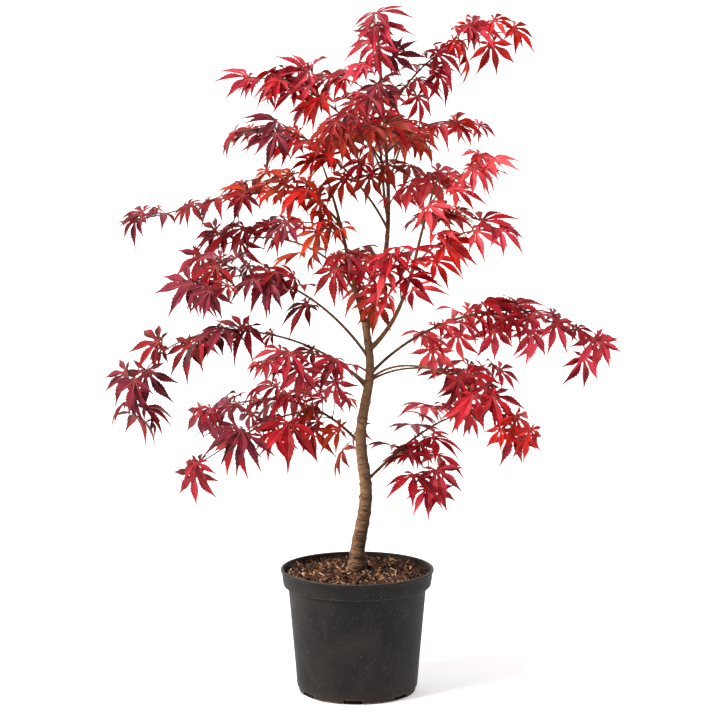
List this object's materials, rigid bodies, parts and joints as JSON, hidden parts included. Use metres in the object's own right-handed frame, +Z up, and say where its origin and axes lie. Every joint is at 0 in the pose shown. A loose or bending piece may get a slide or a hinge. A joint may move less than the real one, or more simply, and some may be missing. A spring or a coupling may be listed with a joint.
{
  "type": "potted japanese maple",
  "caption": "Young upright Japanese maple with tiered, arching boughs of deeply cut red leaves, standing in a round black nursery pot.",
  "frame": {"origin": "centre of the pot's flat underside, on the surface that the pot stands on", "axes": "+Z up along the trunk, +X to the right of the front view, +Y away from it"},
  "size_m": [0.9216, 0.615, 1.2754],
  "materials": {
    "pot": "matte black moulded plastic, dusty",
    "soil": "moist bark-chip potting mix",
    "bark": "grey-brown bark with rings and pores",
    "foliage": "crimson and burgundy leaves with a satin surface"
  },
  "bodies": {
    "root": {"pot": "pot", "soil": "soil", "trunk": "bark", "arching_left": "bark", "back_leader": "bark", "back_mid": "bark", "back_upper": "bark", "centre_leader": "bark", "far_left": "bark", "fifth_right": "bark", "fourth_left": "bark", "front_upper": "bark", "left_leader": "bark", "long_left": "bark", "long_right": "bark", "low_left": "bark", "low_right": "bark", "low_right_back": "bark", "lowest_right": "bark", "mid_left": "bark", "right_leader": "bark", "second_right": "bark", "seventh_left": "bark", "sixth_left": "bark", "top_right": "bark", "weeping_left": "bark", "arching_left_leaves": "foliage", "back_mid_leaves": "foliage", "back_top_leaves": "foliage", "back_upper_leaves": "foliage", "crown_top": "foliage", "far_left_inner_leaves": "foliage", "far_left_outer_leaves": "foliage", "fifth_right_leaves": "foliage", "fourth_left_front_leaves": "foliage", "fourth_left_leaves": "foliage", "fourth_right_leaves": "foliage", "front_top_leaves": "foliage", "front_upper_leaves": "foliage", "inner_front_leaves": "foliage", "inner_right_leaves": "foliage", "long_left_inner_leaves": "foliage", "long_left_outer_leaves": "foliage", "long_right_inner_leaves": "foliage", "long_right_outer_leaves": "foliage", "low_left_leaves": "foliage", "low_right_back_leaves": "foliage", "low_right_leaves": "foliage", "lowest_right_leaves": "foliage", "mid_left_leaves": "foliage", "pink_inner_leaves": "foliage", "pink_right_leaves": "foliage", "second_right_leaves": "foliage", "seventh_left_leaves": "foliage", "sixth_left_leaves": "foliage", "top_right_leaves": "foliage", "weeping_left_leaves": "foliage", "weeping_right_leaves": "foliage"}
  },
  "joints": []
}
